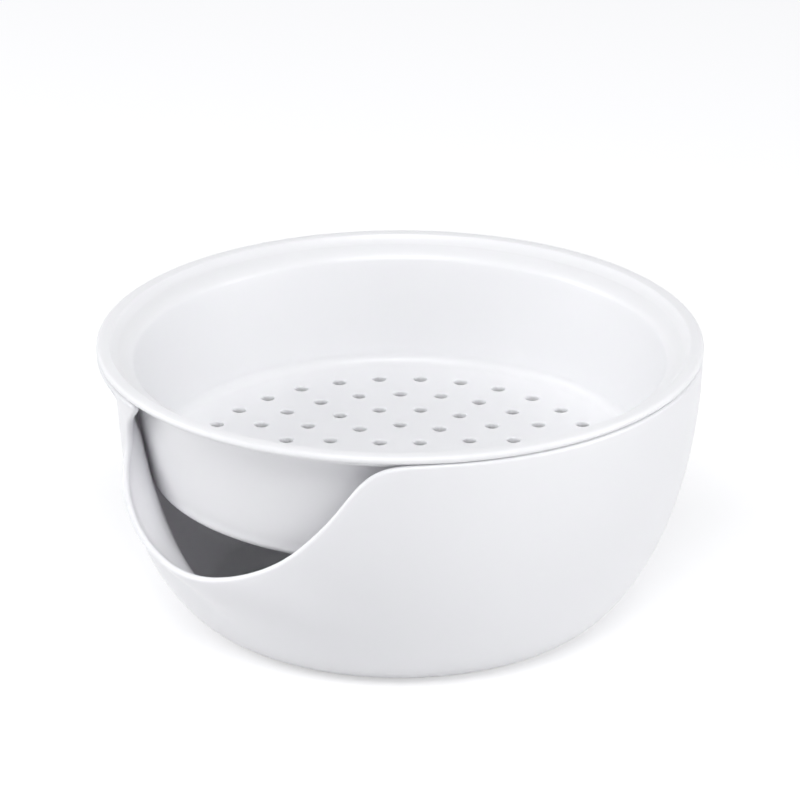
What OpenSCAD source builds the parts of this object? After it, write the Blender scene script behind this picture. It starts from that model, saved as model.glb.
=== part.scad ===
// Colander with bowl: a shallow drained dish that rests in a deep round bowl.
// The bowl's wall sweeps down beside the front into one scooped side opening.
// Millimetres, +Z up. The origin is on the table under the middle of the base,
// and the front faces -Y. A bearing is counted from the front, positive towards +X.

/* [Bowl] */
// Outer diameter of the bowl at its rim
rim_d = 229.5; // [190:0.5:275]
// Height of the bowl from the table to the top of its rim
bowl_h = 103.7; // [86:0.1:125]
// Diameter of the flat that the bowl stands on
base_d = 144; // [118:1:172]
// Thickness of the bowl's wall and floor
bowl_wall = 2.8; // [2.2:0.1:3.4]
// Depth of the shallow recess under the base
recess_depth = 0.8; // [0.6:0.1:1.2]
// Width of the ring that is left around the recess
foot_ring_w = 8; // [5:0.5:12]

/* [Side opening] */
// Bearing of the opening's left side at the rim
opening_bearing = -58; // [-75:1:-45]
// Angle between the opening's two sides
opening_span = 56; // [44:1:68]
// Depth of the opening below the rounded edge of the rim
opening_depth = 68; // [54:1:80]
// Angle by which the opening leans around the bowl on its way down
opening_lean = 28; // [16:1:34]

/* [Drawn-in side] */
// Bearing of the crest that stands beside the colander, half way down the opening
crest_bearing = -71; // [-74:0.5:-69]
// Gap between the crest and the colander's wall, half way down, before its bend is softened
crest_gap = 0.94; // [0.8:0.02:2.4]
// How far the lip beside the crest flares out past the round bowl
lip_flare = 8; // [5:0.5:10]
// Angle over which the wall turns from the crest out to the lip
fold_w = 8; // [7:0.5:9]
// Angle over which the drawn-in wall runs back into the round bowl
crest_reach = 42; // [34:1:50]

/* [Colander] */
// Depth of the colander from the top of its flange to its underside
colander_depth = 51.4; // [42:0.2:62]
// Thickness of the colander's wall and floor
colander_wall = 2.6; // [2:0.1:3.2]
// Lean of the colander's wall from upright
wall_lean = 10.6; // [7:0.2:13]
// Radius of the rounded corner under the floor's edge
floor_corner_r = 3; // [2.7:0.1:4]

/* [Flange and seat] */
// Thickness of the flange that rests on the bowl's rim
flange_t = 3; // [2.4:0.1:3.6]
// Width of the flange's top face
flange_w = 5.6; // [4.6:0.1:6.6]
// How far the flange stands out past the bowl's rim
flange_overhang = 0.25; // [0.1:0.05:0.6]
// Distance from the flange's edge in to the line of the colander's outer wall
wall_setback = 10; // [8.4:0.2:11.8]
// Height of the step under the flange that centres the colander in the rim
step_h = 1.9; // [1.6:0.1:2.3]
// Gap between the flange and the rim that it rests on
seat_gap = 0.3; // [0.2:0.05:0.4]
// Gap between the centring step and the inside of the rim
step_gap = 0.5; // [0.3:0.05:0.7]

/* [Drain holes] */
// Diameter of a drain hole
hole_d = 5; // [4:0.5:6]
// Distance between neighbouring rings of holes
hole_pitch = 15.5; // [13:0.5:19]
// Plain border between the outermost ring and the colander's wall
hole_border = 9; // [7:0.5:12]

/* [Hidden] */

rim_r = rim_d / 2;
base_r = base_d / 2;
edge_r = bowl_wall / 2;
lip_z = bowl_h - edge_r;
seat_z = bowl_h + seat_gap;
top_z = seat_z + flange_t;
flange_r = rim_r + flange_overhang;
wall_top_r = flange_r - wall_setback;
overrun = 1;

// The bowl's outline from its base to its rim is one cubic curve. The first share says how
// far the curve runs flat past the base, the second how far it runs up at the rim, and the
// third how much the rim leans out.
base_run_share = 0.33;
rim_run_share = 0.64;
rim_flare_share = 0.03;
meridian = [
    [base_r, 0],
    [base_r + base_run_share * (rim_r - base_r), 0],
    [rim_r - rim_flare_share * (rim_r - base_r), (1 - rim_run_share) * lip_z],
    [rim_r, lip_z]
];

// The opening's outline, before it leans: a smooth curve that these points pull. Each is a
// share of the opening's span and of its depth. It starts and ends along the rim.
outline_shares = [
    [-0.14, 0], [-0.07, 0], [-0.01, 0], [-0.006, 0.094], [-0.01, 0.228], [0.027, 0.348],
    [0.134, 0.427], [0.261, 0.559], [0.406, 0.7], [0.555, 0.829], [0.7, 0.893],
    [0.829, 0.879], [0.915, 0.765], [0.961, 0.561], [0.981, 0.334], [0.962, 0.131],
    [0.986, 0.017], [1.1, 0], [1.25, 0], [1.4, 0]
];

// The fold beside the opening at ever lower places, one row each. A row gives the angle
// from the crest's bearing, the shares of the crest's depth and of the lip's flare, and
// how far the wall closes up to run straight out. The second row lies at the rim.
fold_rows = [
    [5, -0.6, 0.5, -0.8],
    [2.5, 0, 0, 0],
    [0, 0.6, -0.5, 0.8],
    [-1.3, 1.01, -0.425, 1],
    [1.7, 1.07, 0.475, 1],
    [5, 1.07, 0.85, 1],
    [11.2, 1.01, 1.075, 1],
    [20, 0.5, 0.475, 0.6],
    [28, 0, 0, 0],
    [34, 0, 0, 0],
    [41, 0, 0, 0]
];
rows_per_depth = 6;
crest_bend_top = 1.6;
crest_bend_low = 5;
lip_bend_top = 3;
lip_bend_low = 4;
closed_share = 0.9;
fold_fade = 40;

// How finely the bowl's surface is drawn
side_levels = 15;
bottom_steps = 26;
low_rows = 15;
rim_steps = 50;
near_steps = 16;
near_angle = 18;
left_corner_steps = 8;
right_corner_steps = 6;
edge_rows = 4;
halvings = 20;
one_turn = [360, 0];
$fn = 96;

function mix(a, b, share) = a + (b - a) * share;
function unit(v) = v / norm(v);
function cubic(p, t) =
    pow(1 - t, 3) * p[0] + 3 * pow(1 - t, 2) * t * p[1] + 3 * (1 - t) * t * t * p[2] + pow(t, 3) * p[3];
function spline(p, t) =
    (pow(1 - t, 3) * p[0] + (3 * pow(t, 3) - 6 * t * t + 4) * p[1]
        + (3 * t + 3 * t * t - 3 * pow(t, 3) + 1) * p[2] + pow(t, 3) * p[3]) / 6;

// Where on the meridian the bowl has this height, found by halving
function rise_at(z, low = 0, high = 1, left = halvings) =
    left == 0 ? (low + high) / 2 :
    cubic(meridian, (low + high) / 2)[1] < z ? rise_at(z, (low + high) / 2, high, left - 1) :
    rise_at(z, low, (low + high) / 2, left - 1);

// A ramp that starts flat and bends softly into its slope
function ramp(x, bend) = (x + sqrt(x * x + bend * bend)) / 2;
function fade(x, length) = pow(cos(90 * min(1, max(0, x / length))), 2);

// The fold's row at a share of the opening's depth
function fold_at(down) =
    let (
        place = min(max(down * rows_per_depth, 0), len(fold_rows) - 3),
        i = min(floor(place), len(fold_rows) - 4)
    )
    spline([for (k = [0:3]) fold_rows[i + k]], place - i);

// A point of the outer face. The bearing is counted before the lean, and rise is the place
// on the meridian, 0 at the base and 1 at the rim. Past the crest the wall first turns
// straight out to the lip's flare and then runs on round the bowl.
function lean_at(bearing, z) =
    opening_lean * min(1, (lip_z - z) / opening_depth)
        * (1 + cos(bearing - opening_bearing - opening_span / 2)) / 2;
function outer_point(bearing, rise) =
    let (
        m = cubic(meridian, rise),
        down = (lip_z - m[1]) / opening_depth,
        softness = min(1, max(0, down)),
        fold = fold_at(down),
        leant = bearing - lean_at(bearing, m[1]),
        past = leant - crest_bearing - fold[0],
        x = past - one_turn[0] * round(past / one_turn[0]),
        lip_bend = mix(lip_bend_top, lip_bend_low, softness),
        begun = ramp(x, mix(crest_bend_top, crest_bend_low, softness)),
        held = begun - ramp(begun - fold_w, lip_bend) + ramp(-fold_w, lip_bend),
        kept = fade(x - fold_w, fold_fade),
        out = held / fold_w,
        drawn = crest_depth * fold[1] * fade(-x, crest_reach) * (1 - out),
        r = m[0] + kept * (lip_flare * fold[2] * out - drawn),
        turned = leant - closed_share * held * fold[3] * kept
    )
    [r * sin(turned), -r * cos(turned), m[1]];

// How far the wall is drawn in at the crest, so that it stays clear of the colander
crest_z = lip_z - opening_depth / 2;
crest_depth = cubic(meridian, rise_at(crest_z))[0] - bowl_wall - wall_r(top_z - crest_z) - crest_gap;

// The outward direction there, from the points just beside it
function outward(bearing, rise, turn = 0.01, climb = 0.0001) =
    unit(cross(
        outer_point(bearing + turn, rise) - outer_point(bearing - turn, rise),
        outer_point(bearing, rise + climb) - outer_point(bearing, rise - climb)));
function wall_point(bearing, rise, inset) =
    outer_point(bearing, rise) - inset * outward(bearing, rise);

// A place on the opening's outline, counted along it in points, as a bearing and a rise
function outline_at(t) =
    let (
        i = min(floor(t), len(outline_shares) - 4),
        p = spline([for (k = [0:3]) outline_shares[i + k]], t - i)
    )
    [opening_bearing + opening_span * p[0], rise_at(lip_z - opening_depth * p[1])];
function outline_run(from, to, steps) = [for (i = [0:steps]) outline_at(mix(from, to, i / steps))];

// Four places part the outline into the left side, the bottom, the right side and the two
// ends that run into the rim
left_top_at = 1.3;
left_low_at = 4.7;
right_low_at = 10.5;
right_top_at = 15;
outline_end = len(outline_shares) - 3;

left_side = [for (p = outline_run(left_low_at, left_top_at, side_levels)) p + one_turn];
right_side = outline_run(right_low_at, right_top_at, side_levels);
bottom_run = outline_run(left_low_at, right_low_at, bottom_steps);
right_end = outline_run(right_top_at, outline_end, right_corner_steps);
left_end = [for (p = outline_run(0, left_top_at, left_corner_steps)) p + one_turn];
rim_run = concat(
    right_end,
    [
        for (i = [1:rim_steps])
            [mix(right_end[right_corner_steps][0], left_end[0][0] - near_angle, i / rim_steps), 1]
    ],
    [for (i = [1:near_steps - 1]) [left_end[0][0] - near_angle * (1 - i / near_steps), 1]],
    left_end);
columns = len(rim_run) - 1;

// The wall above the opening's bottom runs from its right side round behind to its left
// side. Each of its levels is spread between those two sides, the rim and the lowest level.
function turn_share(k) =
    (rim_run[k][0] - rim_run[0][0]) / (rim_run[columns][0] - rim_run[0][0]);
function wall_place(k, level) =
    let (s = turn_share(k), v = level / side_levels)
    mix(mix(right_side[0], left_side[0], s), rim_run[k], v)
        + mix(right_side[level], left_side[level], s)
        - mix(mix(right_side[0], left_side[0], s), mix(rim_run[0], rim_run[columns], s), v);

// The wall below is one closed ring of upright strips: under the opening, then behind
low_ring = concat(
    [for (i = [0:bottom_steps - 1]) bottom_run[i]],
    [for (k = [0:columns - 1]) wall_place(k, 0)]);
around = len(low_ring);

// One face of the bowl, at this distance in from its outer face
function sheet(inset) = concat(
    [for (j = [0:low_rows], p = low_ring) wall_point(p[0], p[1] * j / low_rows, inset)],
    [
        for (level = [1:side_levels], k = [0:columns])
            let (p = wall_place(k, level))
            wall_point(p[0], p[1], inset)
    ]);
sheet_size = (low_rows + 1) * around + side_levels * (columns + 1);
function low_index(i, j) = j * around + i % around;
function wall_index(k, level) =
    level == 0 ? low_index(bottom_steps + k, low_rows) :
    (low_rows + 1) * around + (level - 1) * (columns + 1) + k;

// The bowl's edge, once round: down the opening's left side, along its bottom, up its right
// side and round the rim
edge_places = concat(
    [for (level = [side_levels:-1:1]) left_side[level]],
    bottom_run,
    [for (level = [1:side_levels]) right_side[level]],
    [for (k = [1:columns - 1]) rim_run[k]]);
edge_indices = concat(
    [for (level = [side_levels:-1:1]) wall_index(columns, level)],
    [for (i = [0:bottom_steps]) low_index(i, low_rows)],
    [for (level = [1:side_levels]) wall_index(0, level)],
    [for (k = [1:columns - 1]) wall_index(k, side_levels)]);
edge_count = len(edge_places);

// The rounded edge: half circles from the outer face over to the inner one
edge_middle = [
    for (p = edge_places)
        let (q = wall_point(p[0], p[1], edge_r))
        [q[0], q[1], min(q[2], lip_z)]
];
function edge_row(turn) = [
    for (i = [0:edge_count - 1])
        let (
            along = edge_middle[(i + 1) % edge_count] - edge_middle[(i + edge_count - 1) % edge_count],
            out = outward(edge_places[i][0], edge_places[i][1]),
            over = unit(cross(out, along))
        )
        edge_middle[i] + edge_r * (cos(turn) * out + sin(turn) * over)
];
function edge_index(i, row) =
    row == 0 ? edge_indices[i % edge_count] :
    row == edge_rows ? sheet_size + edge_indices[i % edge_count] :
    2 * sheet_size + (row - 1) * edge_count + i % edge_count;

bowl_points = concat(
    sheet(0),
    sheet(bowl_wall),
    [for (row = [1:edge_rows - 1]) each edge_row(180 * row / edge_rows)]);

// Four corners make two triangles, parted along the shorter diagonal
function patch(a, b, c, d) =
    norm(bowl_points[a] - bowl_points[c]) < norm(bowl_points[b] - bowl_points[d]) ?
    [[a, b, c], [a, c, d]] : [[a, b, d], [b, c, d]];
outer_patches = concat(
    [
        for (j = [0:low_rows - 1], i = [0:around - 1])
            [low_index(i, j), low_index(i, j + 1), low_index(i + 1, j + 1), low_index(i + 1, j)]
    ],
    [
        for (j = [0:side_levels - 1], k = [0:columns - 1])
            [wall_index(k, j), wall_index(k, j + 1), wall_index(k + 1, j + 1), wall_index(k + 1, j)]
    ]);
bowl_faces = concat(
    [[for (i = [0:around - 1]) low_index(i, 0)]],
    [for (q = outer_patches) each patch(q[0], q[1], q[2], q[3])],
    [
        for (row = [0:edge_rows - 1], i = [0:edge_count - 1])
            each patch(edge_index(i, row), edge_index(i, row + 1),
                edge_index(i + 1, row + 1), edge_index(i + 1, row))
    ],
    [
        for (q = outer_patches)
            each patch(sheet_size + q[3], sheet_size + q[2], sheet_size + q[1], sheet_size + q[0])
    ],
    [[for (i = [around - 1:-1:0]) sheet_size + low_index(i, 0)]]);

module outer_bowl() {
    color("whitesmoke")
        difference() {
            polyhedron(points = bowl_points, faces = bowl_faces, convexity = 6);
            translate([0, 0, -overrun])
                cylinder(r = base_r - foot_ring_w, h = recess_depth + overrun);
        }
}

// The colander's section, from its axis out along the underside, up the wall, round the
// flange and back down the inside. A place is its radius and its depth below the top.
mouth_r = flange_r - flange_w;
step_r = rim_r - bowl_wall - step_gap;
wall_spread = colander_wall / cos(wall_lean);
floor_edge_r = wall_top_r - colander_depth * tan(wall_lean);
flange_edge_r = flange_t / 2;
mouth_edge_r = flange_t / 3;
inner_corner_r = floor_corner_r + colander_wall / 2;
cove_h = 2 * colander_wall;
arc_steps = 6;
curve_steps = 8;

function wall_r(depth, inset = 0) = wall_top_r - depth * tan(wall_lean) - inset;
function arc(middle, r, from, to, steps = arc_steps) =
    [for (i = [0:steps]) middle + r * [cos(mix(from, to, i / steps)), sin(mix(from, to, i / steps))]];
function curve(p, steps = curve_steps) = [for (i = [0:steps]) cubic(p, i / steps)];

// A corner's arc starts square to one face and ends square to the other
half_corner = tan((90 - wall_lean) / 2);
step_low = flange_t + step_h;
cove_low = step_low + cove_h;
inner_low = flange_t + cove_h;
section = [
    for (p = concat(
        [[0, colander_depth]],
        arc([floor_edge_r - floor_corner_r * half_corner, colander_depth - floor_corner_r],
            floor_corner_r, 90, -wall_lean),
        curve([[wall_r(cove_low), cove_low], [wall_r(step_low + cove_h / 3), step_low + cove_h / 3],
            [mix(wall_top_r, step_r, 0.4), step_low], [step_r, step_low]]),
        [[step_r, flange_t]],
        arc([flange_r - flange_edge_r, flange_edge_r], flange_edge_r, 90, -90),
        arc([mouth_r + mouth_edge_r, mouth_edge_r], mouth_edge_r, -90, -150),
        curve([[mix(wall_top_r, mouth_r, 0.5), flange_t], [wall_r(flange_t, 0), flange_t + colander_wall / 2],
            [wall_r(inner_low - cove_h / 2, wall_spread), inner_low - cove_h / 2],
            [wall_r(inner_low, wall_spread), inner_low]]),
        arc([floor_edge_r + colander_wall * tan(wall_lean) - wall_spread - inner_corner_r * half_corner,
            colander_depth - colander_wall - inner_corner_r], inner_corner_r, -wall_lean, 90),
        [[0, colander_depth - colander_wall]]
    )) [p[0], top_z - p[1]]
];

hole_area_r = floor_edge_r - wall_spread - inner_corner_r - hole_border;
hole_rings = floor(hole_area_r / hole_pitch);

module drain_holes() {
    for (ring = [0:hole_rings], i = [0:max(1, 6 * ring) - 1])
        rotate([0, 0, 60 * i / max(1, ring)])
            translate([ring * hole_pitch, 0, top_z - colander_depth - overrun])
                cylinder(d = hole_d, h = colander_wall + 2 * overrun);
}

module colander() {
    color("white")
        difference() {
            rotate_extrude()
                polygon(section);
            drain_holes();
        }
}

outer_bowl();
colander();
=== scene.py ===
import math

import bpy
import numpy as np
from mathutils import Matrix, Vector


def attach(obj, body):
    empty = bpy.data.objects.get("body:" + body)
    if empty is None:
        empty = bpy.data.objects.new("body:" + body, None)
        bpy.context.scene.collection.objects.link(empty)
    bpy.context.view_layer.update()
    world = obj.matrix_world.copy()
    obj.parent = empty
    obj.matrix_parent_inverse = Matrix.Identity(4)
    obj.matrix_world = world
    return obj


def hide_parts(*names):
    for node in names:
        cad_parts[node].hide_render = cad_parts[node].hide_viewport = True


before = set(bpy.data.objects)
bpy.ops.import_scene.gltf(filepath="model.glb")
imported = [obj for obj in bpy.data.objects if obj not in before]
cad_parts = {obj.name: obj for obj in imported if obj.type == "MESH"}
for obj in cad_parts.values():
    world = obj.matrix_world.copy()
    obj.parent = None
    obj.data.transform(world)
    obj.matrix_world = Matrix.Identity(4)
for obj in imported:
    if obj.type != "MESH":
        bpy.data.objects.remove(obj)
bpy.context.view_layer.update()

MM = 0.001

# Bowl, in millimetres, as in the part's source
RIM_R = 229.5 / 2
BOWL_H = 103.7
BASE_R = 144 / 2
BOWL_WALL = 2.8
RECESS_DEPTH = 0.8
FOOT_RING_W = 8
EDGE_R = BOWL_WALL / 2
LIP_Z = BOWL_H - EDGE_R

# Outline of the round bowl: one cubic curve from the base to the rim, shaped by these shares
BASE_RUN = 0.33
RIM_RUN = 0.64
RIM_FLARE = 0.03
MERIDIAN = np.array([
    (BASE_R, 0),
    (BASE_R + BASE_RUN * (RIM_R - BASE_R), 0),
    (RIM_R - RIM_FLARE * (RIM_R - BASE_R), (1 - RIM_RUN) * LIP_Z),
    (RIM_R, LIP_Z),
])

# Step from the foot ring up into the recess, as distances out from the ring's inner side and heights
FOOT_STEP = [(0.5, 0), (0.2, 0.1), (0, 0.4), (-0.2, 0.7), (-0.5, RECESS_DEPTH)]

# The first rings of the base and of the floor inside lie this far in from the wall's
BASE_INSET = 0.5
FLOOR_INSET = 1

# Side opening: its bearing from the front, its outline as shares of its span and depth
OPENING_BEARING = -58
OPENING_SPAN = 56
OPENING_DEPTH = 68
OPENING_LEAN = 28
OUTLINE = np.array([
    (-0.14, 0), (-0.07, 0), (-0.01, 0), (-0.006, 0.094), (-0.01, 0.228), (0.027, 0.348),
    (0.134, 0.427), (0.261, 0.559), (0.406, 0.7), (0.555, 0.829), (0.7, 0.893),
    (0.829, 0.879), (0.915, 0.765), (0.961, 0.561), (0.981, 0.334), (0.962, 0.131),
    (0.986, 0.017), (1.1, 0), (1.25, 0), (1.4, 0),
])
LEFT_TOP_AT, LEFT_LOW_AT, RIGHT_LOW_AT, RIGHT_TOP_AT = 1.3, 4.7, 10.5, 15

# Fold beside the opening. Each row, from above the rim down, holds the angle from the crest's
# bearing, the shares of the crest's depth and of the lip's flare, and how far the wall closes up.
CREST_BEARING = -71
CREST_GAP = 0.94
LIP_FLARE = 8
FOLD_W = 8
CREST_REACH = 42
FOLD_ROWS = np.array([
    (5, -0.6, 0.5, -0.8),
    (2.5, 0, 0, 0),
    (0, 0.6, -0.5, 0.8),
    (-1.3, 1.01, -0.425, 1),
    (1.7, 1.07, 0.475, 1),
    (5, 1.07, 0.85, 1),
    (11.2, 1.01, 1.075, 1),
    (20, 0.5, 0.475, 0.6),
    (28, 0, 0, 0),
    (34, 0, 0, 0),
    (41, 0, 0, 0),
])
ROWS_PER_DEPTH = 6
CREST_BEND = (1.6, 5)
LIP_BEND = (3, 4)
CLOSED = 0.9
FOLD_FADE = 40

# Colander, measured down from the top of its flange, which rests just clear of the bowl
SEAT_GAP = 0.3
FLANGE_T = 3
TOP_Z = BOWL_H + SEAT_GAP + FLANGE_T
COLANDER_DEPTH = 51.4
COLANDER_WALL = 2.6
WALL_LEAN = math.radians(10.6)
FLOOR_CORNER_R = 3
FLANGE_OVERHANG = 0.25
FLANGE_R = RIM_R + FLANGE_OVERHANG
FLANGE_W = 5.6
WALL_SETBACK = 10
WALL_TOP_R = FLANGE_R - WALL_SETBACK

# Step under the flange, which centres the colander in the bowl
STEP_GAP = 0.5
STEP_R = RIM_R - BOWL_WALL - STEP_GAP
STEP_H = 1.9
STEP_LOW = FLANGE_T + STEP_H
STEP_EDGE_R = 0.25
STEP_COVE_R = 0.2
STEP_PULL = 0.4

# How far the flange's inner edge turns over, and how far above the floor the wall's rows end
MOUTH_TURN = math.radians(150)
WALL_END = 6
INNER_WALL_END = 6.4

# Drain holes: one in the middle and rings round it, cut a little past both faces of the floor
HOLE_D = 5
HOLE_PITCH = 15.5
HOLE_RINGS = 5
HOLE_EDGE_R = 0.7
HOLED_R = (HOLE_RINGS + 1 / 2) * HOLE_PITCH
CUTTER_REACH = 1

# Keeps a whole number whole when it is rounded down
ROUNDING = 0.00001

# Steps of the bowl's mesh. They are finer along the rim's last degrees, near the opening.
LEVELS = 56
BOTTOM_STEPS = 84
LOW_ROWS = 48
RIM_STEPS = 190
NEAR_ANGLE = 18
NEAR_STEPS = 40
LEFT_CORNER_STEPS = 18
RIGHT_CORNER_STEPS = 22
EDGE_ROWS = 12

# Turned pieces are swept round a circle of this radius. Points closer than this are joined.
PATH_R = 50
MERGE = 0.01
DISH_STEPS = 240
HOLE_STEPS = 28
WALL_ROWS = 14

# Edges that turn by more than this look sharp
SHARP_ANGLE = math.radians(40)

# A flat disc has a level ring this wide round it, so that its shading stays level
LEVEL_RING = 2


# Meshes

def mesh_object(name, points, faces, edges=()):
    """A smooth-shaded object at the origin, from points in millimetres."""
    mesh = bpy.data.meshes.new(name)
    mesh.from_pydata((np.asarray(points) * MM).tolist(), list(edges), faces)
    mesh.validate()
    mesh.shade_smooth()
    obj = bpy.data.objects.new(name, mesh)
    bpy.context.scene.collection.objects.link(obj)
    return obj


def cubic(p, t):
    """Points on the cubic curve that these four points shape, at t from 0 to 1."""
    t = np.asarray(t, float)[..., None]
    u = 1 - t
    return u ** 3 * p[0] + 3 * u ** 2 * t * p[1] + 3 * u * t ** 2 * p[2] + t ** 3 * p[3]


def spline(points, t):
    """Points on the uniform cubic spline that these control points pull."""
    i = np.minimum(np.floor(t).astype(int), len(points) - 4)
    f = (t - i)[:, None]
    return (
        (1 - f) ** 3 * points[i]
        + (3 * f ** 3 - 6 * f ** 2 + 4) * points[i + 1]
        + (1 + 3 * f + 3 * f ** 2 - 3 * f ** 3) * points[i + 2]
        + f ** 3 * points[i + 3]
    ) / 6


def mix(a, b, share):
    """From a, at share 0, to b, at share 1."""
    return a + (b - a) * share


# Bowl surface

# A table from which a height gives its rise, the place along the outline from 0 to 1
RISES = np.linspace(0, 1, 4001)
HEIGHTS = cubic(MERIDIAN, RISES)[:, 1]

CREST_Z = LIP_Z - OPENING_DEPTH / 2
CREST_DEPTH = (
    cubic(MERIDIAN, np.interp(CREST_Z, HEIGHTS, RISES))[0]
    - BOWL_WALL - (WALL_TOP_R - (TOP_Z - CREST_Z) * math.tan(WALL_LEAN)) - CREST_GAP
)


def ramp(x, bend):
    """Starts flat and bends softly into its slope."""
    return (x + np.sqrt(x * x + bend * bend)) / 2


def fade(x, length):
    """Falls softly from 1 at zero to 0 at this length."""
    return np.cos(math.pi / 2 * np.clip(x / length, 0, 1)) ** 2


def lean_window(bearing):
    """1 at the opening's middle, falling to 0 on the far side."""
    return (1 + np.cos(np.radians(bearing - OPENING_BEARING - OPENING_SPAN / 2))) / 2


def outer_point(bearing, rise):
    """A point of the bowl's outer face, from its bearing before the lean and its rise."""
    bearing, rise = np.broadcast_arrays(bearing, rise)
    m = cubic(MERIDIAN, rise)
    z = m[..., 1]
    down = (LIP_Z - z) / OPENING_DEPTH
    softness = np.clip(down, 0, 1)
    fold = spline(FOLD_ROWS, np.clip(down * ROWS_PER_DEPTH, 0, len(FOLD_ROWS) - 3).ravel())
    angle, depth, flare, close = fold.T.reshape(4, *down.shape)
    leant = bearing - OPENING_LEAN * np.minimum(1, down) * lean_window(bearing)
    x = (leant - CREST_BEARING - angle + 180) % 360 - 180
    lip_bend = mix(*LIP_BEND, softness)
    begun = ramp(x, mix(*CREST_BEND, softness))
    held = begun - ramp(begun - FOLD_W, lip_bend) + ramp(-FOLD_W, lip_bend)
    kept = fade(x - FOLD_W, FOLD_FADE)
    out = held / FOLD_W
    drawn = CREST_DEPTH * depth * fade(-x, CREST_REACH) * (1 - out)
    r = m[..., 0] + kept * (LIP_FLARE * flare * out - drawn)
    turn = np.radians(leant - CLOSED * held * close * kept)
    return np.stack([r * np.sin(turn), -r * np.cos(turn), z], -1)


def unit(v):
    return v / np.linalg.norm(v, axis=-1, keepdims=True)


def outward(bearing, rise, turn=0.01, climb=0.0001):
    """The outer face's normal, from small steps to each side."""
    across = outer_point(bearing + turn, rise) - outer_point(bearing - turn, rise)
    up = outer_point(bearing, rise + climb) - outer_point(bearing, rise - climb)
    return unit(np.cross(across, up))


def wall_point(places, inset):
    """Points this far inside the outer face at these places (bearing, rise)."""
    bearing, rise = places[..., 0], places[..., 1]
    return outer_point(bearing, rise) - inset * outward(bearing, rise)


def outline_run(start, end, steps):
    """Places (bearing, rise) along the opening's outline."""
    p = spline(OUTLINE, np.linspace(start, end, steps + 1))
    rise = np.interp(LIP_Z - OPENING_DEPTH * p[:, 1], HEIGHTS, RISES)
    return np.stack([OPENING_BEARING + OPENING_SPAN * p[:, 0], rise], 1)


def bowl_places():
    """The two grids of places: the wall beside and behind the opening, and the ring below."""
    one_turn = np.array([360, 0])
    left = outline_run(LEFT_LOW_AT, LEFT_TOP_AT, LEVELS) + one_turn
    right = outline_run(RIGHT_LOW_AT, RIGHT_TOP_AT, LEVELS)
    bottom = outline_run(LEFT_LOW_AT, RIGHT_LOW_AT, BOTTOM_STEPS)
    right_end = outline_run(RIGHT_TOP_AT, len(OUTLINE) - 3, RIGHT_CORNER_STEPS)
    left_end = outline_run(0, LEFT_TOP_AT, LEFT_CORNER_STEPS) + one_turn
    near_start = left_end[0, 0] - NEAR_ANGLE
    behind = np.concatenate([
        np.linspace(right_end[-1, 0], near_start, RIM_STEPS + 1)[1:],
        np.linspace(near_start, left_end[0, 0], NEAR_STEPS + 1)[1:-1],
    ])
    rim = np.vstack([right_end, np.stack([behind, np.ones_like(behind)], 1), left_end])
    s = ((rim[:, 0] - rim[0, 0]) / (rim[-1, 0] - rim[0, 0]))[None, :, None]
    v = np.linspace(0, 1, LEVELS + 1)[:, None, None]
    low = mix(right[0], left[0], s)
    wall = (
        mix(low, rim[None], v)
        + mix(right[:, None], left[:, None], s)
        - mix(low, mix(rim[0], rim[-1], s), v)
    )
    ring = np.vstack([bottom[:-1], wall[0, :-1]])
    below = np.stack([
        np.repeat(ring[None, :, 0], LOW_ROWS + 1, 0),
        ring[None, :, 1] * np.linspace(0, 1, LOW_ROWS + 1)[:, None],
    ], -1)
    return wall, below, bottom, left, right, rim


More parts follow.
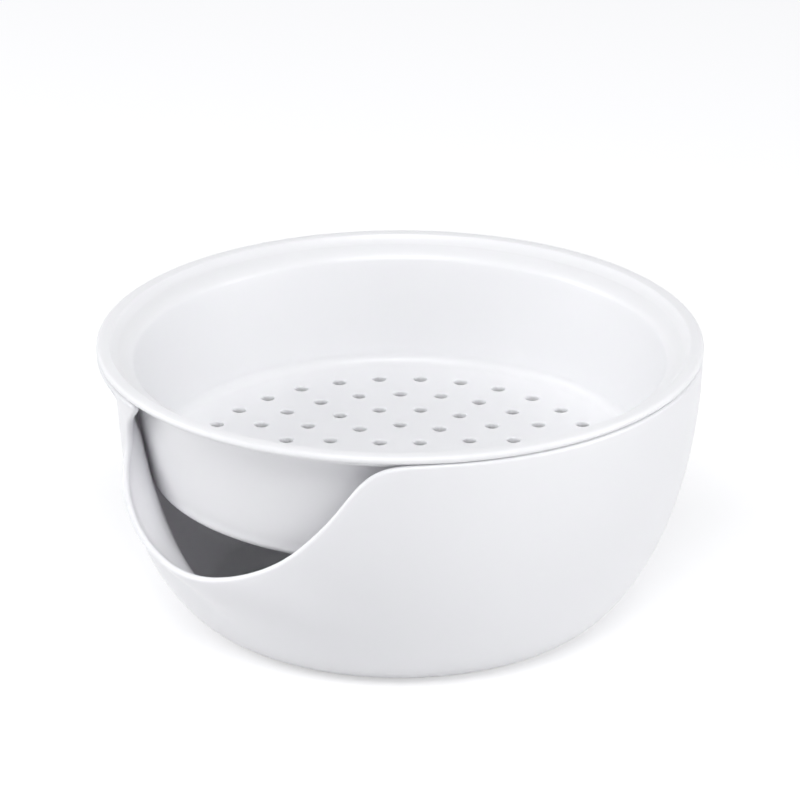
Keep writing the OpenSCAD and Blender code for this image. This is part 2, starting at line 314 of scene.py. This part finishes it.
def bowl_mesh():
    """The bowl: an outer and an inner sheet, the rounded edge between them, and the base."""
    wall, below, bottom, left, right, rim = bowl_places()
    columns = wall.shape[1] - 1
    around = below.shape[1]
    sheet_size = (LOW_ROWS + 1) * around + LEVELS * (columns + 1)

    def low_index(i, j):
        return j * around + i % around

    def wall_index(k, level):
        if level == 0:
            return low_index(BOTTOM_STEPS + k, LOW_ROWS)
        return (LOW_ROWS + 1) * around + (level - 1) * (columns + 1) + k

    def sheet(inset):
        return np.vstack([
            wall_point(below, inset).reshape(-1, 3),
            wall_point(wall[1:], inset).reshape(-1, 3),
        ])

    # The edge, once round: down the left side, along the bottom, up the right side, round the rim
    places = np.vstack([left[:0:-1], bottom, right[1:], rim[1:-1]])
    indices = (
        [wall_index(columns, level) for level in range(LEVELS, 0, -1)]
        + [low_index(i, LOW_ROWS) for i in range(BOTTOM_STEPS + 1)]
        + [wall_index(0, level) for level in range(1, LEVELS + 1)]
        + [wall_index(k, LEVELS) for k in range(1, columns)]
    )
    count = len(indices)
    middle = wall_point(places, EDGE_R)
    middle[:, 2] = np.minimum(middle[:, 2], LIP_Z)
    out = outward(places[:, 0], places[:, 1])
    along = np.roll(middle, -1, 0) - np.roll(middle, 1, 0)
    over = unit(np.cross(out, along))
    turns = [math.pi * row / EDGE_ROWS for row in range(1, EDGE_ROWS)]
    edge = [middle + EDGE_R * (math.cos(t) * out + math.sin(t) * over) for t in turns]

    def edge_index(i, row):
        i %= count
        if row == 0:
            return indices[i]
        if row == EDGE_ROWS:
            return sheet_size + indices[i]
        return 2 * sheet_size + (row - 1) * count + i

    quads = [
        (low_index(i, j), low_index(i, j + 1), low_index(i + 1, j + 1), low_index(i + 1, j))
        for j in range(LOW_ROWS) for i in range(around)
    ] + [
        (wall_index(k, j), wall_index(k, j + 1), wall_index(k + 1, j + 1), wall_index(k + 1, j))
        for j in range(LEVELS) for k in range(columns)
    ]
    faces = [q[::-1] for q in quads]
    faces += [tuple(sheet_size + i for i in q) for q in quads]
    faces += [
        (edge_index(i + 1, row), edge_index(i + 1, row + 1), edge_index(i, row + 1), edge_index(i, row))
        for row in range(EDGE_ROWS) for i in range(count)
    ]
    points = [sheet(0), sheet(BOWL_WALL), *edge]
    start = 2 * sheet_size + (EDGE_ROWS - 1) * count
    bearings = below[0, :, 0]
    turn = np.radians(bearings - OPENING_LEAN * lean_window(bearings))
    across = np.stack([np.sin(turn), -np.cos(turn)], 1)

    def disc(first_row, rows, flip):
        """Closes a ring of points with ever smaller rings, each a radius and a height."""
        nonlocal start
        last = first_row
        for r, z in rows:
            points.append(np.column_stack([r * across, np.full(around, z)]))
            row = list(range(start, start + around))
            start += around
            for i in range(around):
                n = (i + 1) % around
                face = (last[i], last[n], row[n], row[i])
                faces.append(face if flip else face[::-1])
            last = row
        faces.append(tuple(last if not flip else last[::-1]))

    ring_in = BASE_R - FOOT_RING_W
    disc(
        [low_index(i, 0) for i in range(around)],
        [(BASE_R - BASE_INSET, 0)] + [(ring_in + out, z) for out, z in FOOT_STEP]
        + [(ring_in - LEVEL_RING, RECESS_DEPTH), (LEVEL_RING, RECESS_DEPTH)],
        False,
    )
    disc(
        [sheet_size + low_index(i, 0) for i in range(around)],
        [(BASE_R - FLOOR_INSET, BOWL_WALL), (BASE_R / 2, BOWL_WALL), (LEVEL_RING, BOWL_WALL)],
        True,
    )
    return mesh_object("bowl_shell", np.vstack(points), faces)


# Colander

def arc(middle, r, start, end, steps=8):
    """Points (radius, depth) on an arc. It turns from outwards, at 0, to downwards."""
    turn = np.linspace(start, end, steps + 1)
    return np.array(middle) + r * np.stack([np.cos(turn), np.sin(turn)], 1)


def curve(*pulls, steps=14):
    """Points on the cubic curve between the first and the last of four points."""
    return cubic(np.array(pulls, float), np.linspace(0, 1, steps + 1))


def colander_section():
    """Radius and depth below the top: from the axis out, up, over the flange and back in to the axis."""
    spread = COLANDER_WALL / math.cos(WALL_LEAN)
    floor_r = WALL_TOP_R - COLANDER_DEPTH * math.tan(WALL_LEAN)
    floor_depth = COLANDER_DEPTH - COLANDER_WALL
    square = math.pi / 2
    half = math.tan((square - WALL_LEAN) / 2)
    outer_corner_r = floor_r - FLOOR_CORNER_R * half
    inner_corner = FLOOR_CORNER_R + COLANDER_WALL / 2
    inner_corner_r = floor_r - spread - inner_corner * half
    cove = 2 * COLANDER_WALL
    cove_low = FLANGE_T + cove
    step_cove_low = STEP_LOW + cove
    edge = FLANGE_T / 2
    mouth_edge = FLANGE_T / 3
    mouth_r = FLANGE_R - FLANGE_W

    def wall(depth, inset=0):
        return WALL_TOP_R - depth * math.tan(WALL_LEAN) - inset, depth

    run = [
        # Underside of the floor, its corner and the outside of the wall
        [(0, COLANDER_DEPTH), (outer_corner_r - LEVEL_RING, COLANDER_DEPTH)],
        arc((outer_corner_r, COLANDER_DEPTH - FLOOR_CORNER_R), FLOOR_CORNER_R, square, -WALL_LEAN),
        [wall(d) for d in np.linspace(COLANDER_DEPTH - WALL_END, step_cove_low + LEVEL_RING, WALL_ROWS)],
        # Step under the flange
        curve(wall(step_cove_low), wall(STEP_LOW + cove / 3),
              (mix(WALL_TOP_R, STEP_R, STEP_PULL), STEP_LOW), (STEP_R - STEP_EDGE_R, STEP_LOW)),
        arc((STEP_R - STEP_EDGE_R, STEP_LOW - STEP_EDGE_R), STEP_EDGE_R, square, 0, 3),
        arc((STEP_R + STEP_COVE_R, FLANGE_T + STEP_COVE_R), STEP_COVE_R, math.pi, math.pi + square, 3),
        # Flange, round its edge and over its top
        arc((FLANGE_R - edge, edge), edge, square, -square, 12),
        [((FLANGE_R - edge + mouth_r + mouth_edge) / 2, 0)],
        arc((mouth_r + mouth_edge, mouth_edge), mouth_edge, -square, -MOUTH_TURN, 6),
        # Inside of the wall, its corner and the floor
        curve(((WALL_TOP_R + mouth_r) / 2, FLANGE_T),
              (wall(FLANGE_T)[0], FLANGE_T + COLANDER_WALL / 2),
              wall(cove_low - cove / 2, spread), wall(cove_low, spread)),
        [wall(d, spread)
         for d in np.linspace(cove_low + LEVEL_RING, floor_depth - INNER_WALL_END, WALL_ROWS)],
        arc((inner_corner_r + COLANDER_WALL * math.tan(WALL_LEAN), floor_depth - inner_corner),
            inner_corner, -WALL_LEAN, square),
        [(inner_corner_r - LEVEL_RING, floor_depth), (0, floor_depth)],
    ]
    return np.vstack([np.asarray(part, float).reshape(-1, 2) for part in run])


def hole_section():
    """Radius and depth of a cutter for one drain hole, with both its edges rounded over."""
    floor_depth = COLANDER_DEPTH - COLANDER_WALL
    outer_r = HOLE_D / 2 + HOLE_EDGE_R
    square = math.pi / 2
    run = [
        [(0, COLANDER_DEPTH + CUTTER_REACH), (outer_r, COLANDER_DEPTH + CUTTER_REACH)],
        arc((outer_r, COLANDER_DEPTH - HOLE_EDGE_R), HOLE_EDGE_R, square, 2 * square, 5),
        arc((outer_r, floor_depth + HOLE_EDGE_R), HOLE_EDGE_R, 2 * square, 3 * square, 5),
        [(outer_r, floor_depth - CUTTER_REACH), (0, floor_depth - CUTTER_REACH)],
    ]
    return np.vstack([np.asarray(part, float).reshape(-1, 2) for part in run])


# Nodes

MATH = "ShaderNodeMath"


def add_node(tree, kind, settings=None, links=None):
    """Adds a node, sets its settings (properties and sockets) and links its sockets."""
    node = tree.nodes.new(kind)
    for key, value in (settings or {}).items():
        if isinstance(key, str) and hasattr(node, key):
            setattr(node, key, value)
        else:
            node.inputs[key].default_value = value
    for key, source in (links or {}).items():
        tree.links.new(source, node.inputs[key])
    return node


def new_tree(name, numbers):
    """A Geometry Nodes tree with geometry in and out and these named numbers as inputs."""
    tree = bpy.data.node_groups.new(name, "GeometryNodeTree")
    interface = tree.interface
    interface.new_socket("Geometry", in_out="INPUT", socket_type="NodeSocketGeometry")
    for label, kind in numbers.items():
        interface.new_socket(label, in_out="INPUT", socket_type=kind)
    interface.new_socket("Geometry", in_out="OUTPUT", socket_type="NodeSocketGeometry")
    return tree, add_node(tree, "NodeGroupInput").outputs


def end_tree(tree, geometry, material):
    """Ends a tree with real geometry in one material."""
    done = add_node(tree, "GeometryNodeRealizeInstances", {}, {"Geometry": geometry})
    finish = add_node(
        tree, "GeometryNodeSetMaterial", {"Material": material}, {"Geometry": done.outputs[0]})
    add_node(tree, "NodeGroupOutput", {}, {"Geometry": finish.outputs[0]})
    return tree


def turned_body_tree(material):
    """Turns a section about the axis. Its points hold the radius as X and the depth as Y."""
    tree, inputs = new_tree("turned_body", {"Top": "NodeSocketFloat", "Steps": "NodeSocketInt"})
    # The sweep lays the section's X away from the path's middle and its Y downwards
    path = add_node(
        tree, "GeometryNodeCurvePrimitiveCircle", {"mode": "RADIUS", "Radius": PATH_R * MM},
        {"Resolution": inputs["Steps"]})
    run = add_node(tree, "GeometryNodeMeshToCurve", {}, {"Mesh": inputs["Geometry"]})
    section = add_node(
        tree, "GeometryNodeTransform", {"Translation": (-PATH_R * MM, 0, 0)},
        {"Geometry": run.outputs[0]})
    swept = add_node(
        tree, "GeometryNodeCurveToMesh", {},
        {"Curve": path.outputs["Curve"], "Profile Curve": section.outputs[0]})
    joined = add_node(
        tree, "GeometryNodeMergeByDistance", {"Distance": MERGE * MM}, {"Geometry": swept.outputs[0]})
    lift = add_node(tree, "ShaderNodeCombineXYZ", {}, {"Z": inputs["Top"]})
    raised = add_node(
        tree, "GeometryNodeTransform", {},
        {"Geometry": joined.outputs[0], "Translation": lift.outputs[0]})
    outward_faces = add_node(tree, "GeometryNodeFlipFaces", {}, {"Mesh": raised.outputs[0]})
    smooth = add_node(tree, "GeometryNodeSetShadeSmooth", {}, {"Geometry": outward_faces.outputs[0]})
    return end_tree(tree, smooth.outputs[0], material)


def drain_hole_tree(cutter, material):
    """Cuts the drain holes: rings of one cutter, six more in each ring than in the last."""
    tree, inputs = new_tree("drain_holes", {"Ring pitch": "NodeSocketFloat", "Rings": "NodeSocketInt"})
    pitch, rings = inputs["Ring pitch"], inputs["Rings"]

    # Holes up to ring n number 1 + 3 n (n + 1)
    next_ring = add_node(tree, MATH, {"operation": "ADD", 1: 1}, {0: rings}).outputs[0]
    product = add_node(tree, MATH, {"operation": "MULTIPLY"}, {0: rings, 1: next_ring}).outputs[0]
    total = add_node(tree, MATH, {"operation": "MULTIPLY_ADD", 1: 3, 2: 1}, {0: product}).outputs[0]
    points = add_node(tree, "GeometryNodePoints", {}, {"Count": total})

    # The ring of hole i is the whole part of (3 + sqrt(12 i - 3)) / 6, and of the first hole 0
    index = add_node(tree, "GeometryNodeInputIndex").outputs[0]
    inside = add_node(tree, MATH, {"operation": "MULTIPLY_ADD", 1: 12, 2: -3}, {0: index}).outputs[0]
    positive = add_node(tree, MATH, {"operation": "MAXIMUM", 1: 0}, {0: inside}).outputs[0]
    root = add_node(tree, MATH, {"operation": "SQRT"}, {0: positive}).outputs[0]
    shared = add_node(
        tree, MATH, {"operation": "MULTIPLY_ADD", 1: 1 / 6, 2: 1 / 2 + ROUNDING}, {0: root}).outputs[0]
    whole = add_node(tree, MATH, {"operation": "FLOOR"}, {0: shared}).outputs[0]
    not_first = add_node(tree, MATH, {"operation": "MINIMUM", 1: 1}, {0: index}).outputs[0]
    ring = add_node(tree, MATH, {"operation": "MULTIPLY"}, {0: whole, 1: not_first}).outputs[0]

    # Each ring holds six holes for its number, evenly spaced
    divisor = add_node(tree, MATH, {"operation": "MAXIMUM", 1: 1}, {0: ring}).outputs[0]
    spacing = add_node(
        tree, MATH, {"operation": "DIVIDE", 0: math.radians(60)}, {1: divisor}).outputs[0]
    turn = add_node(tree, MATH, {"operation": "MULTIPLY"}, {0: index, 1: spacing}).outputs[0]
    radius = add_node(tree, MATH, {"operation": "MULTIPLY"}, {0: ring, 1: pitch}).outputs[0]
    cosine = add_node(tree, MATH, {"operation": "COSINE"}, {0: turn}).outputs[0]
    sine = add_node(tree, MATH, {"operation": "SINE"}, {0: turn}).outputs[0]
    x = add_node(tree, MATH, {"operation": "MULTIPLY"}, {0: radius, 1: cosine}).outputs[0]
    y = add_node(tree, MATH, {"operation": "MULTIPLY"}, {0: radius, 1: sine}).outputs[0]
    place = add_node(tree, "ShaderNodeCombineXYZ", {}, {0: x, 1: y})
    placed = add_node(
        tree, "GeometryNodeSetPosition", {},
        {"Geometry": points.outputs[0], "Position": place.outputs[0]})
    shape = add_node(tree, "GeometryNodeObjectInfo", {"Object": cutter})
    cutters = add_node(
        tree, "GeometryNodeInstanceOnPoints", {},
        {"Points": placed.outputs[0], "Instance": shape.outputs["Geometry"]})
    solid = add_node(tree, "GeometryNodeRealizeInstances", {}, {"Geometry": cutters.outputs[0]})
    cut = add_node(tree, "GeometryNodeMeshBoolean", {"operation": "DIFFERENCE", "solver": "EXACT"})
    tree.links.new(inputs["Geometry"], cut.inputs["Mesh 1"])
    tree.links.new(solid.outputs[0], cut.inputs["Mesh 2"])
    return end_tree(tree, cut.outputs["Mesh"], material)


def apply_tree(obj, tree, values):
    """Runs a Geometry Nodes tree on an object and keeps the result as its plain mesh."""
    modifier = obj.modifiers.new(tree.name, "NODES")
    modifier.node_group = tree
    sockets = {s.name: s.identifier for s in tree.interface.items_tree if s.in_out == "INPUT"}
    for name, value in values.items():
        modifier[sockets[name]] = value
    evaluated = obj.evaluated_get(bpy.context.evaluated_depsgraph_get())
    mesh = bpy.data.meshes.new_from_object(evaluated)
    obj.modifiers.remove(modifier)
    obj.data = mesh
    return obj


def turned_body(name, tree, section, steps):
    """A closed body from a section whose run starts and ends on the axis."""
    run = np.column_stack([section, np.zeros(len(section))])
    obj = mesh_object(name, run, [], [(i, i + 1) for i in range(len(run) - 1)])
    return apply_tree(obj, tree, {"Top": TOP_Z * MM, "Steps": steps})


def shade_level_faces_flat(mesh, reach, least_upright=0.9999):
    """Level faces within this radius keep their own normals, so no streaks run from hole to hole."""
    normals, middles = np.empty((2, len(mesh.polygons), 3), np.float32)
    mesh.polygons.foreach_get("normal", normals.ravel())
    mesh.polygons.foreach_get("center", middles.ravel())
    level = np.abs(normals[:, 2]) > least_upright
    near = np.hypot(middles[:, 0], middles[:, 1]) < reach * MM
    mesh.polygons.foreach_set("use_smooth", ~(level & near))


# Materials

def srgb(code):
    """An sRGB hex value as linear red, green, blue and 1."""
    values = [int(code[i:i + 2], 16) / 255 for i in (1, 3, 5)]
    return [v / 12.92 if v <= 0.04045 else ((v + 0.055) / 1.055) ** 2.4 for v in values] + [1.0]


def new_material(name):
    """An empty material and its node tree."""
    material = bpy.data.materials.new(name)
    material.use_nodes = True
    material.node_tree.nodes.clear()
    return material, material.node_tree


# Surface of the plastic, in millimetres: ripples left by its flow, and the mould's own texture.
# A real mould's texture is too fine to show, so it is drawn coarser.
FLOW_SIZE = 12
FLOW_DEPTH = 0.2
MOULD_SIZE = 0.6
MOULD_DEPTH = 0.04
ROUGHNESS_SPREAD = 0.05

# How far light travels inside the plastic
LIGHT_REACH = 3


def moulded_plastic(name, colour, roughness):
    """Injection-moulded ABS. Light sinks in a little, under a bright and faintly rippled gloss."""
    material, tree = new_material(name)
    place = add_node(tree, "ShaderNodeTexCoord").outputs["Object"]
    flow = add_node(
        tree, "ShaderNodeTexNoise", {"Scale": 1 / (FLOW_SIZE * MM), "Detail": 1.0},
        {"Vector": place}).outputs["Fac"]
    mould = add_node(
        tree, "ShaderNodeTexNoise", {"Scale": 1 / (MOULD_SIZE * MM), "Detail": 0.0},
        {"Vector": place}).outputs["Fac"]
    ripples = add_node(
        tree, "ShaderNodeBump", {"Strength": 0.02, "Distance": FLOW_DEPTH * MM},
        {"Height": flow}).outputs["Normal"]
    relief = add_node(
        tree, "ShaderNodeBump", {"Strength": 0.05, "Distance": MOULD_DEPTH * MM},
        {"Height": mould, "Normal": ripples}).outputs["Normal"]
    uneven = add_node(
        tree, "ShaderNodeMapRange",
        {"To Min": roughness * (1 - ROUGHNESS_SPREAD), "To Max": roughness * (1 + ROUGHNESS_SPREAD)},
        {"Value": flow}).outputs[0]
    shader = add_node(
        tree, "ShaderNodeBsdfPrincipled",
        {"Base Color": srgb(colour), "IOR": 1.5, "Subsurface Weight": 0.5,
         "Subsurface Radius": (1.0, 0.95, 1.0), "Subsurface Scale": LIGHT_REACH * MM},
        {"Roughness": uneven, "Normal": relief})
    add_node(tree, "ShaderNodeOutputMaterial", {}, {"Surface": shader.outputs[0]})
    return material


bowl_plastic = moulded_plastic("white_moulded_abs_bowl", "#F5F5F8", 0.3)
colander_plastic = moulded_plastic("white_moulded_abs_colander", "#F5F5F7", 0.32)

# The two pieces

bowl = bowl_mesh()
bowl.data.materials.append(bowl_plastic)
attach(bowl, "bowl")
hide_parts("outer_bowl")

turning = turned_body_tree(colander_plastic)
cutter = turned_body("hole_cutter", turning, hole_section(), HOLE_STEPS)
colander = turned_body("colander_dish", turning, colander_section(), DISH_STEPS)
drilling = drain_hole_tree(cutter, colander_plastic)
apply_tree(colander, drilling, {"Ring pitch": HOLE_PITCH * MM, "Rings": HOLE_RINGS})
bpy.data.objects.remove(cutter)
colander.data.set_sharp_from_angle(angle=SHARP_ANGLE)
shade_level_faces_flat(colander.data, HOLED_R)
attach(colander, "colander")
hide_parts("colander")

# Floor and surroundings: half the floor's side in millimetres, its glow and the room's light

FLOOR_HALF = 4000
GLOW = 0.45
ROOM_LIGHT = 0.38


def seen_or_mirrored(tree):
    """1 for what the camera sees, straight, in a gloss or through a clear piece, and 0 otherwise."""
    ray = add_node(tree, "ShaderNodeLightPath").outputs
    straight_or_glossy = add_node(
        tree, MATH, {"operation": "MAXIMUM"}, {0: ray["Is Camera Ray"], 1: ray["Is Glossy Ray"]})
    either_or_through = add_node(
        tree, MATH, {"operation": "MAXIMUM"},
        {0: straight_or_glossy.outputs[0], 1: ray["Is Transmission Ray"]})
    return either_or_through.outputs[0]


def floor_material():
    """Pale card. The camera sees it lit up to white, apart from the object's shadow."""
    material, tree = new_material("pale_card")
    card = add_node(tree, "ShaderNodeBsdfDiffuse", {"Color": srgb("#E2E2E2")})
    strength = add_node(tree, MATH, {"operation": "MULTIPLY", 1: GLOW}, {0: seen_or_mirrored(tree)})
    glow = add_node(
        tree, "ShaderNodeEmission", {"Color": srgb("#FFFFFF")}, {"Strength": strength.outputs[0]})
    both = add_node(tree, "ShaderNodeAddShader", {}, {0: card.outputs[0], 1: glow.outputs[0]})
    add_node(tree, "ShaderNodeOutputMaterial", {}, {"Surface": both.outputs[0]})
    return material


floor_corners = [(x * FLOOR_HALF, y * FLOOR_HALF, 0) for x, y in ((-1, -1), (1, -1), (1, 1), (-1, 1))]
floor = mesh_object("floor", floor_corners, [(0, 1, 2, 3)])
floor.data.materials.append(floor_material())

world = bpy.data.worlds.new("studio")
world.use_nodes = True
bpy.context.scene.world = world
sky = world.node_tree
sky.nodes.clear()
room = add_node(sky, "ShaderNodeBackground", {"Color": srgb("#F1F2F8"), "Strength": ROOM_LIGHT})
white = add_node(sky, "ShaderNodeBackground", {"Color": srgb("#FFFFFF"), "Strength": 1.0})
seen = add_node(
    sky, "ShaderNodeMixShader", {},
    {0: seen_or_mirrored(sky), 1: room.outputs[0], 2: white.outputs[0]})
add_node(sky, "ShaderNodeOutputWorld", {}, {"Surface": seen.outputs[0]})


def aimed(name, data, place, target):
    """Puts a light or a camera at this place, in metres, and turns it to the target."""
    obj = bpy.data.objects.new(name, data)
    obj.location = place
    obj.rotation_euler = (Vector(target) - Vector(place)).to_track_quat("-Z", "Y").to_euler()
    bpy.context.scene.collection.objects.link(obj)
    return obj


# Soft boxes: name, place and size in metres, power in watts
OBJECT_MIDDLE = (0, 0, 0.06)
SOFT_BOXES = [
    ("light_left", (-1.7, 0, 0.7), (1.0, 1.0), 11),
    ("light_right", (1.6, -0.5, 0.35), (1.0, 0.8), 9.3),
    ("light_above_front", (0, -1.1, 1.6), (1.4, 1.0), 19.5),
]
for name, place, size, power in SOFT_BOXES:
    light = bpy.data.lights.new(name, "AREA")
    light.shape = "RECTANGLE"
    light.size, light.size_y = size
    light.energy = power
    aimed(name, light, place, OBJECT_MIDDLE)

# Camera, at the photograph's angle and distance
CAMERA_PLACE = (0, -1.8442, 0.8553)
CAMERA_TARGET = (0, 0, 0.0814)
lens = bpy.data.cameras.new("camera")
lens.sensor_width = 36
lens.lens = 236.59
bpy.context.scene.camera = aimed("camera", lens, CAMERA_PLACE, CAMERA_TARGET)
bpy.context.scene.view_settings.view_transform = "Standard"
